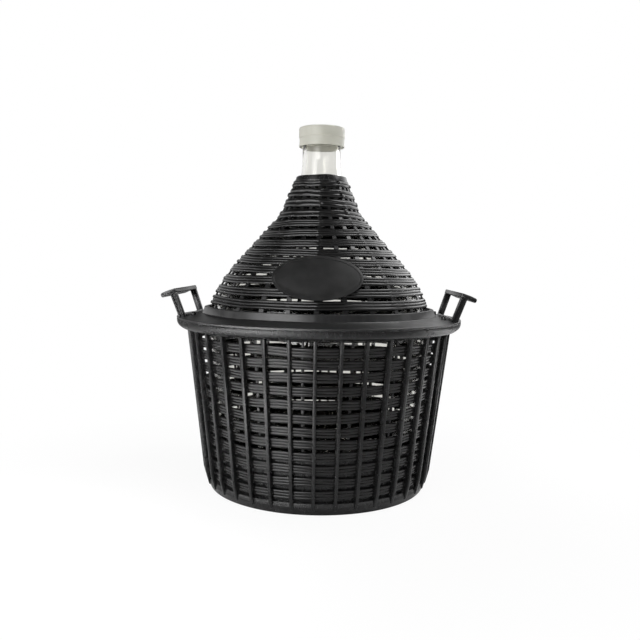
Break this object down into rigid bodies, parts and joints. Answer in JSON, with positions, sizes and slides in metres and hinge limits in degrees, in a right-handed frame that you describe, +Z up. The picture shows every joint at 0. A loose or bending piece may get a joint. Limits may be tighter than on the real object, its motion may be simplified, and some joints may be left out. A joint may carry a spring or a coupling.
{
  "type": "demijohn in a basket casing",
  "caption": "Clear glass demijohn in a black moulded basket casing: tapered slotted basket, bell-shaped cover with a bare oval plate, snap cap and leaning side handles.",
  "frame": {"origin": "centre of the base, on the surface that the basket stands on", "axes": "+Z up along the bottle's axis, -Y the front with the oval plate, handles at -X and +X"},
  "size_m": [0.3872, 0.3684, 0.4615],
  "materials": {
    "casing": "satin black moulded plastic",
    "glass": "clear",
    "cap": "translucent natural plastic"
  },
  "bodies": {
    "basket": {"basket": "casing", "handle_left": "casing", "handle_right": "casing"},
    "bottle": {"glass_bottle": "glass"},
    "cover": {"cover": "casing", "name_plate": "casing"},
    "cap": {"cap": "cap"}
  },
  "joints": [
    {"name": "bottle_lift", "type": "slide", "parent": "basket", "child": "bottle", "axis": [0, 0, 1], "range_m": [0, 0.245]},
    {"name": "cover_lift", "type": "slide", "parent": "bottle", "child": "cover", "axis": [0, 0, 1], "range_m": [0, 0.262]},
    {"name": "cap_pull", "type": "slide", "parent": "bottle", "child": "cap", "axis": [0, 0, 1], "range_m": [0, 0.035]}
  ]
}
